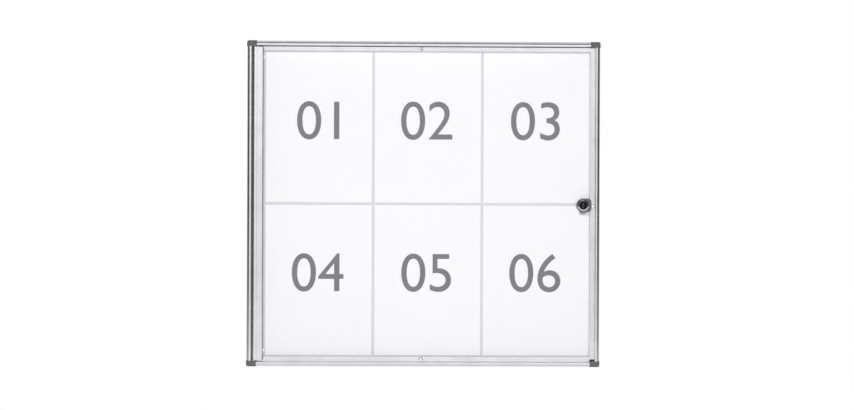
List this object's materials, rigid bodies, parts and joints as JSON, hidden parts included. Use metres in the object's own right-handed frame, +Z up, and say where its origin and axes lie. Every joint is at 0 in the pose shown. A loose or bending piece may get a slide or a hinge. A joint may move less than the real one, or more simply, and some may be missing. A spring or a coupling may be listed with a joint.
{
  "type": "lockable notice board",
  "caption": "Slim wall-hung notice case with a hinged clear door, a cam lock, aluminium profiles and grey corner pieces.",
  "frame": {"origin": "middle of the four wall-screw holes, on the back panel's rear face", "axes": "+X to the viewer's right, +Y away from the viewer into the wall, +Z up"},
  "size_m": [0.697, 0.0337, 0.642],
  "materials": {
    "anodised_aluminium": "satin clear anodised extrusion",
    "corner_plastic": "moulded mid-grey plastic",
    "screw_steel": "zinc-plated steel",
    "lacquered_steel": "white lacquer, satin",
    "paper": "plain white paper",
    "clear_rubber": "clear soft bumper",
    "gasket_rubber": "grey glazing rubber",
    "clear_acrylic": "clear polished sheet",
    "bush_plastic": "natural low-friction plastic",
    "chrome": "polished chromed zinc",
    "black_plug": "black enamelled zinc"
  },
  "bodies": {
    "case": {"frame_left": "anodised_aluminium", "frame_right": "anodised_aluminium", "frame_top": "anodised_aluminium", "frame_bottom": "anodised_aluminium", "corner_top_left": "corner_plastic", "corner_bottom_left": "corner_plastic", "corner_top_right": "corner_plastic", "corner_bottom_right": "corner_plastic", "corner_screws": "screw_steel", "back_panel": "lacquered_steel", "notice_sheets": "paper", "pane_bumpers": "clear_rubber", "hinge_bush_top": "bush_plastic", "hinge_bush_bottom": "bush_plastic"},
    "door": {"hinge_stile": "anodised_aluminium", "stile_cap_top": "corner_plastic", "stile_cap_bottom": "corner_plastic", "glazing_gasket": "gasket_rubber", "hinge_pin_top": "screw_steel", "hinge_pin_bottom": "screw_steel", "pane": "clear_acrylic", "lock_housing": "corner_plastic", "lock_barrel": "chrome", "lock_washer": "screw_steel", "lock_nut": "screw_steel"},
    "lock": {"lock_plug": "black_plug", "lock_cam": "screw_steel", "lock_cam_screw": "screw_steel"}
  },
  "joints": [
    {"name": "door_hinge", "type": "hinge", "parent": "case", "child": "door", "pos_m": [-0.3331, -0.0244, 0], "axis": [0, 0, -1], "range_deg": [0, 115]},
    {"name": "lock_turn", "type": "hinge", "parent": "door", "child": "lock", "pos_m": [0.3146, -0.0244, -0.0016], "axis": [0, -1, 0], "range_deg": [0, 90]}
  ]
}
